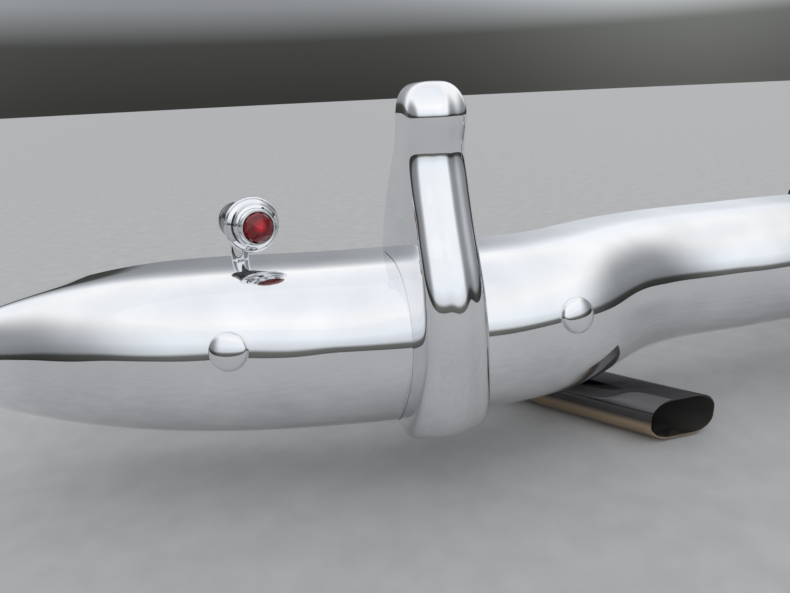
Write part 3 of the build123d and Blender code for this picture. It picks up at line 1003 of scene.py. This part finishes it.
class BUMPER_OT_stage(bpy.types.Operator):
    """Set the floor, the light and the camera"""

    bl_idname = "bumper.stage"
    bl_label = "Stage"

    def execute(self, context):
        settings = context.scene.bumper
        deselect_all()
        ground = (0, 0, cad_box[0][2])
        bpy.ops.mesh.primitive_circle_add(
            vertices=FLOOR_SIDES, radius=FLOOR_RADIUS, fill_type="NGON", location=ground
        )
        floor = context.object
        floor.name = "studio_floor"
        floor.data.materials.append(finish_of("floor"))
        self.add_room(settings)
        self.add_key_light(settings)
        self.add_camera()
        return {"FINISHED"}

    def add_room(self, settings):
        """Light from all round: bright above and in front, dim behind and low down."""
        world = bpy.data.worlds.new("Studio room")
        bpy.context.scene.world = world
        world.use_nodes = True
        tree = world.node_tree
        light = tree.nodes["Background"]
        light.inputs["Strength"].default_value = settings.sky_strength
        place = tree.nodes.new("ShaderNodeTexCoord")
        split = tree.nodes.new("ShaderNodeSeparateXYZ")
        ramp = tree.nodes.new("ShaderNodeValToRGB")
        ramp.color_ramp.elements[0].position = ROOM_LEVELS[0][0]
        ramp.color_ramp.elements[1].position = ROOM_LEVELS[-1][0]
        for position, colour in ROOM_LEVELS[1:-1]:
            ramp.color_ramp.elements.new(position)
        for element, (position, colour) in zip(ramp.color_ramp.elements, ROOM_LEVELS):
            element.color = (*colour, 1)
        tree.links.new(place.outputs["Generated"], split.inputs["Vector"])
        tree.links.new(split.outputs["Z"], ramp.inputs["Fac"])
        beside = tree.nodes.new("ShaderNodeMath")
        beside.operation = "ABSOLUTE"
        tree.links.new(split.outputs["X"], beside.inputs[0])
        colour = ramp.outputs["Color"]
        shades = (
            (split.outputs["Y"], *BACK_FADE, settings.back_share),
            (beside.outputs[0], *SIDE_FADE, settings.side_share),
        )
        for source, start, end, share in shades:
            fade = tree.nodes.new("ShaderNodeMapRange")
            fade.interpolation_type = "SMOOTHSTEP"
            fade.inputs["From Min"].default_value = start
            fade.inputs["From Max"].default_value = end
            fade.inputs["To Min"].default_value = 1
            fade.inputs["To Max"].default_value = share
            tree.links.new(source, fade.inputs["Value"])
            dim = tree.nodes.new("ShaderNodeMix")
            dim.data_type = "RGBA"
            dim.blend_type = "MULTIPLY"
            dim.inputs["Factor"].default_value = 1
            tree.links.new(colour, dim.inputs["A"])
            tree.links.new(fade.outputs["Result"], dim.inputs["B"])
            colour = dim.outputs["Result"]
        tree.links.new(colour, light.inputs["Color"])

    def add_key_light(self, settings):
        """A large soft round light that looks at the bumper."""
        lamp = bpy.data.lights.new("key_light", "AREA")
        lamp.shape = "DISK"
        lamp.energy = settings.key_power
        lamp.size = KEY_SIZE
        source = bpy.data.objects.new("key_light", lamp)
        bpy.context.scene.collection.objects.link(source)
        source.location = KEY_PLACE
        towards = Vector(KEY_AIM) - source.location
        source.rotation_euler = towards.to_track_quat("-Z", "Y").to_euler()

    def add_camera(self):
        """The camera at the photograph's place and angle."""
        yaw, pitch, roll = radians(CAMERA_YAW), radians(CAMERA_PITCH), radians(CAMERA_ROLL)
        ahead = Vector((sin(yaw) * cos(pitch), cos(yaw) * cos(pitch), -sin(pitch)))
        level = Vector((cos(yaw), -sin(yaw), 0))
        upright = level.cross(ahead)
        across = cos(roll) * level + sin(roll) * upright
        up = cos(roll) * upright - sin(roll) * level
        data = bpy.data.cameras.new("Camera")
        data.sensor_width = SENSOR_WIDTH
        data.lens = FOCAL_PIXELS / PHOTO_WIDTH * SENSOR_WIDTH
        data.clip_start = 0.01
        camera = bpy.data.objects.new("Camera", data)
        bpy.context.scene.collection.objects.link(camera)
        turn = Matrix((across, up, -ahead)).transposed().to_4x4()
        camera.matrix_world = Matrix.Translation(CAMERA_PLACE) @ turn
        bpy.context.scene.camera = camera
        bpy.context.scene.view_settings.view_transform = "Standard"


# The sidebar, and running it all

class BUMPER_PT_panel(bpy.types.Panel):
    """The bumper's pieces and its values"""

    bl_label = "Bumper"
    bl_idname = "BUMPER_PT_panel"
    bl_space_type = "VIEW_3D"
    bl_region_type = "UI"
    bl_category = "Bumper"

    def draw(self, context):
        settings = context.scene.bumper
        for value in BumperFinish.__annotations__:
            self.layout.prop(settings, value)
        for maker in MAKERS:
            self.layout.operator(maker.bl_idname)


MAKERS = (
    BUMPER_OT_face_bar,
    BUMPER_OT_guards,
    BUMPER_OT_caps,
    BUMPER_OT_lamps,
    BUMPER_OT_irons,
    BUMPER_OT_exhaust,
    BUMPER_OT_stage,
)


def register():
    for part in (BumperFinish, *MAKERS, BUMPER_PT_panel):
        bpy.utils.register_class(part)
    bpy.types.Scene.bumper = bpy.props.PointerProperty(type=BumperFinish)


def unregister():
    del bpy.types.Scene.bumper
    for part in reversed((BumperFinish, *MAKERS, BUMPER_PT_panel)):
        bpy.utils.unregister_class(part)


def main():
    """Register the add-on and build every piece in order."""
    register()
    bpy.ops.bumper.face_bar()
    bpy.ops.bumper.guards()
    bpy.ops.bumper.caps()
    bpy.ops.bumper.lamps()
    bpy.ops.bumper.irons()
    bpy.ops.bumper.exhaust()
    bpy.ops.bumper.stage()


if __name__ == "__main__":
    main()
